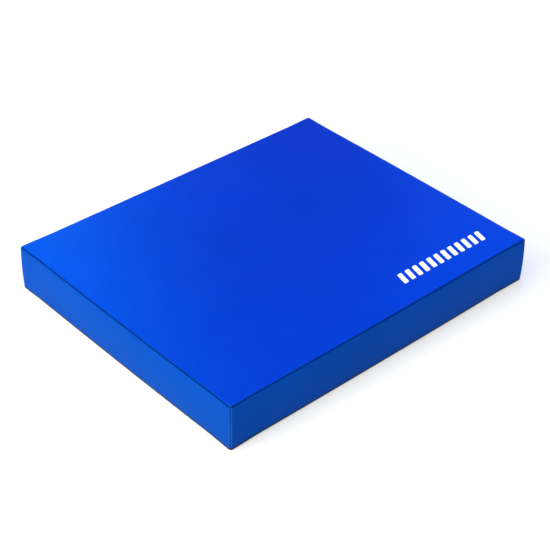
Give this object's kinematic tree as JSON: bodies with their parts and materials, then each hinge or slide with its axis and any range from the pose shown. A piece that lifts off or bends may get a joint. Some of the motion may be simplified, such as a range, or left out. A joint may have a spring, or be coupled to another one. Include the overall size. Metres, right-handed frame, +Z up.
{
  "type": "balance pad",
  "caption": "Rectangular foam balance pad in a sewn coated-fabric cover, with an anti-slip underside and a zip along the rear side.",
  "frame": {"origin": "middle of the underside, on the surface that the pad lies on", "axes": "+X along the long side, +Y towards the long side that has the zip, +Z up through the thickness"},
  "size_m": [0.5, 0.4144, 0.065],
  "materials": {
    "cover_top": "satin",
    "cover_side": "satin",
    "anti_slip_sheet": "matte",
    "sewing_thread": "satin",
    "white_print": "satin",
    "foam_lower": "matte",
    "foam_upper": "matte",
    "zip_tape": "matte",
    "zip_coil": "satin",
    "zip_metal": "polished"
  },
  "bodies": {
    "base": {"base_panel": "anti_slip_sheet", "front_side_panel": "cover_side", "left_side_panel": "cover_side", "right_side_panel": "cover_side", "rear_end_left": "cover_side", "rear_end_right": "cover_side", "rear_strip_lower": "cover_side", "rear_strip_upper": "cover_side", "base_seam_thread": "sewing_thread", "corner_seam_threads": "sewing_thread", "zip_stitching_lower": "sewing_thread", "zip_stitching_upper": "sewing_thread", "rear_end_stitching": "sewing_thread", "foam_lower_layer": "foam_lower"},
    "top": {"top_panel": "cover_top", "printed_mark": "white_print", "top_seam_thread": "sewing_thread", "foam_upper_layer": "foam_upper"},
    "zip_band": {"zip_tape_lower": "zip_tape", "zip_tape_upper": "zip_tape", "zip_coil_lower": "zip_coil", "zip_coil_upper": "zip_coil", "zip_bottom_stop": "zip_metal", "zip_top_stops": "zip_metal"},
    "slider": {"zip_slider": "zip_metal", "zip_slider_bridge": "zip_metal"},
    "pull_tab": {"zip_pull_tab": "zip_metal"}
  },
  "joints": [
    {"name": "top_press", "type": "slide", "parent": "base", "child": "top", "axis": [0, 0, -1], "range_m": [0, 0.022], "stiffness_N_per_m": 30000, "deforming": ["foam_lower_layer", "foam_upper_layer", "front_side_panel", "left_side_panel", "right_side_panel", "rear_end_left", "rear_end_right", "rear_strip_lower", "rear_strip_upper", "corner_seam_threads", "zip_stitching_lower", "zip_stitching_upper", "rear_end_stitching"]},
    {"name": "zip_band_drop", "type": "slide", "parent": "base", "child": "zip_band", "axis": [0, 0, -1], "range_m": [0, 0.011]},
    {"name": "zip_slide", "type": "slide", "parent": "zip_band", "child": "slider", "axis": [-1, 0, 0], "range_m": [0, 0.4]},
    {"name": "pull_swing", "type": "hinge", "parent": "slider", "child": "pull_tab", "pos_m": [0.20075, 0.20765, 0.0328], "axis": [0, 0, 1], "range_deg": [-175, 0]}
  ],
  "couplings": [
    {"joint": "zip_band_drop", "follows": "top_press", "ratio": 0.5}
  ]
}
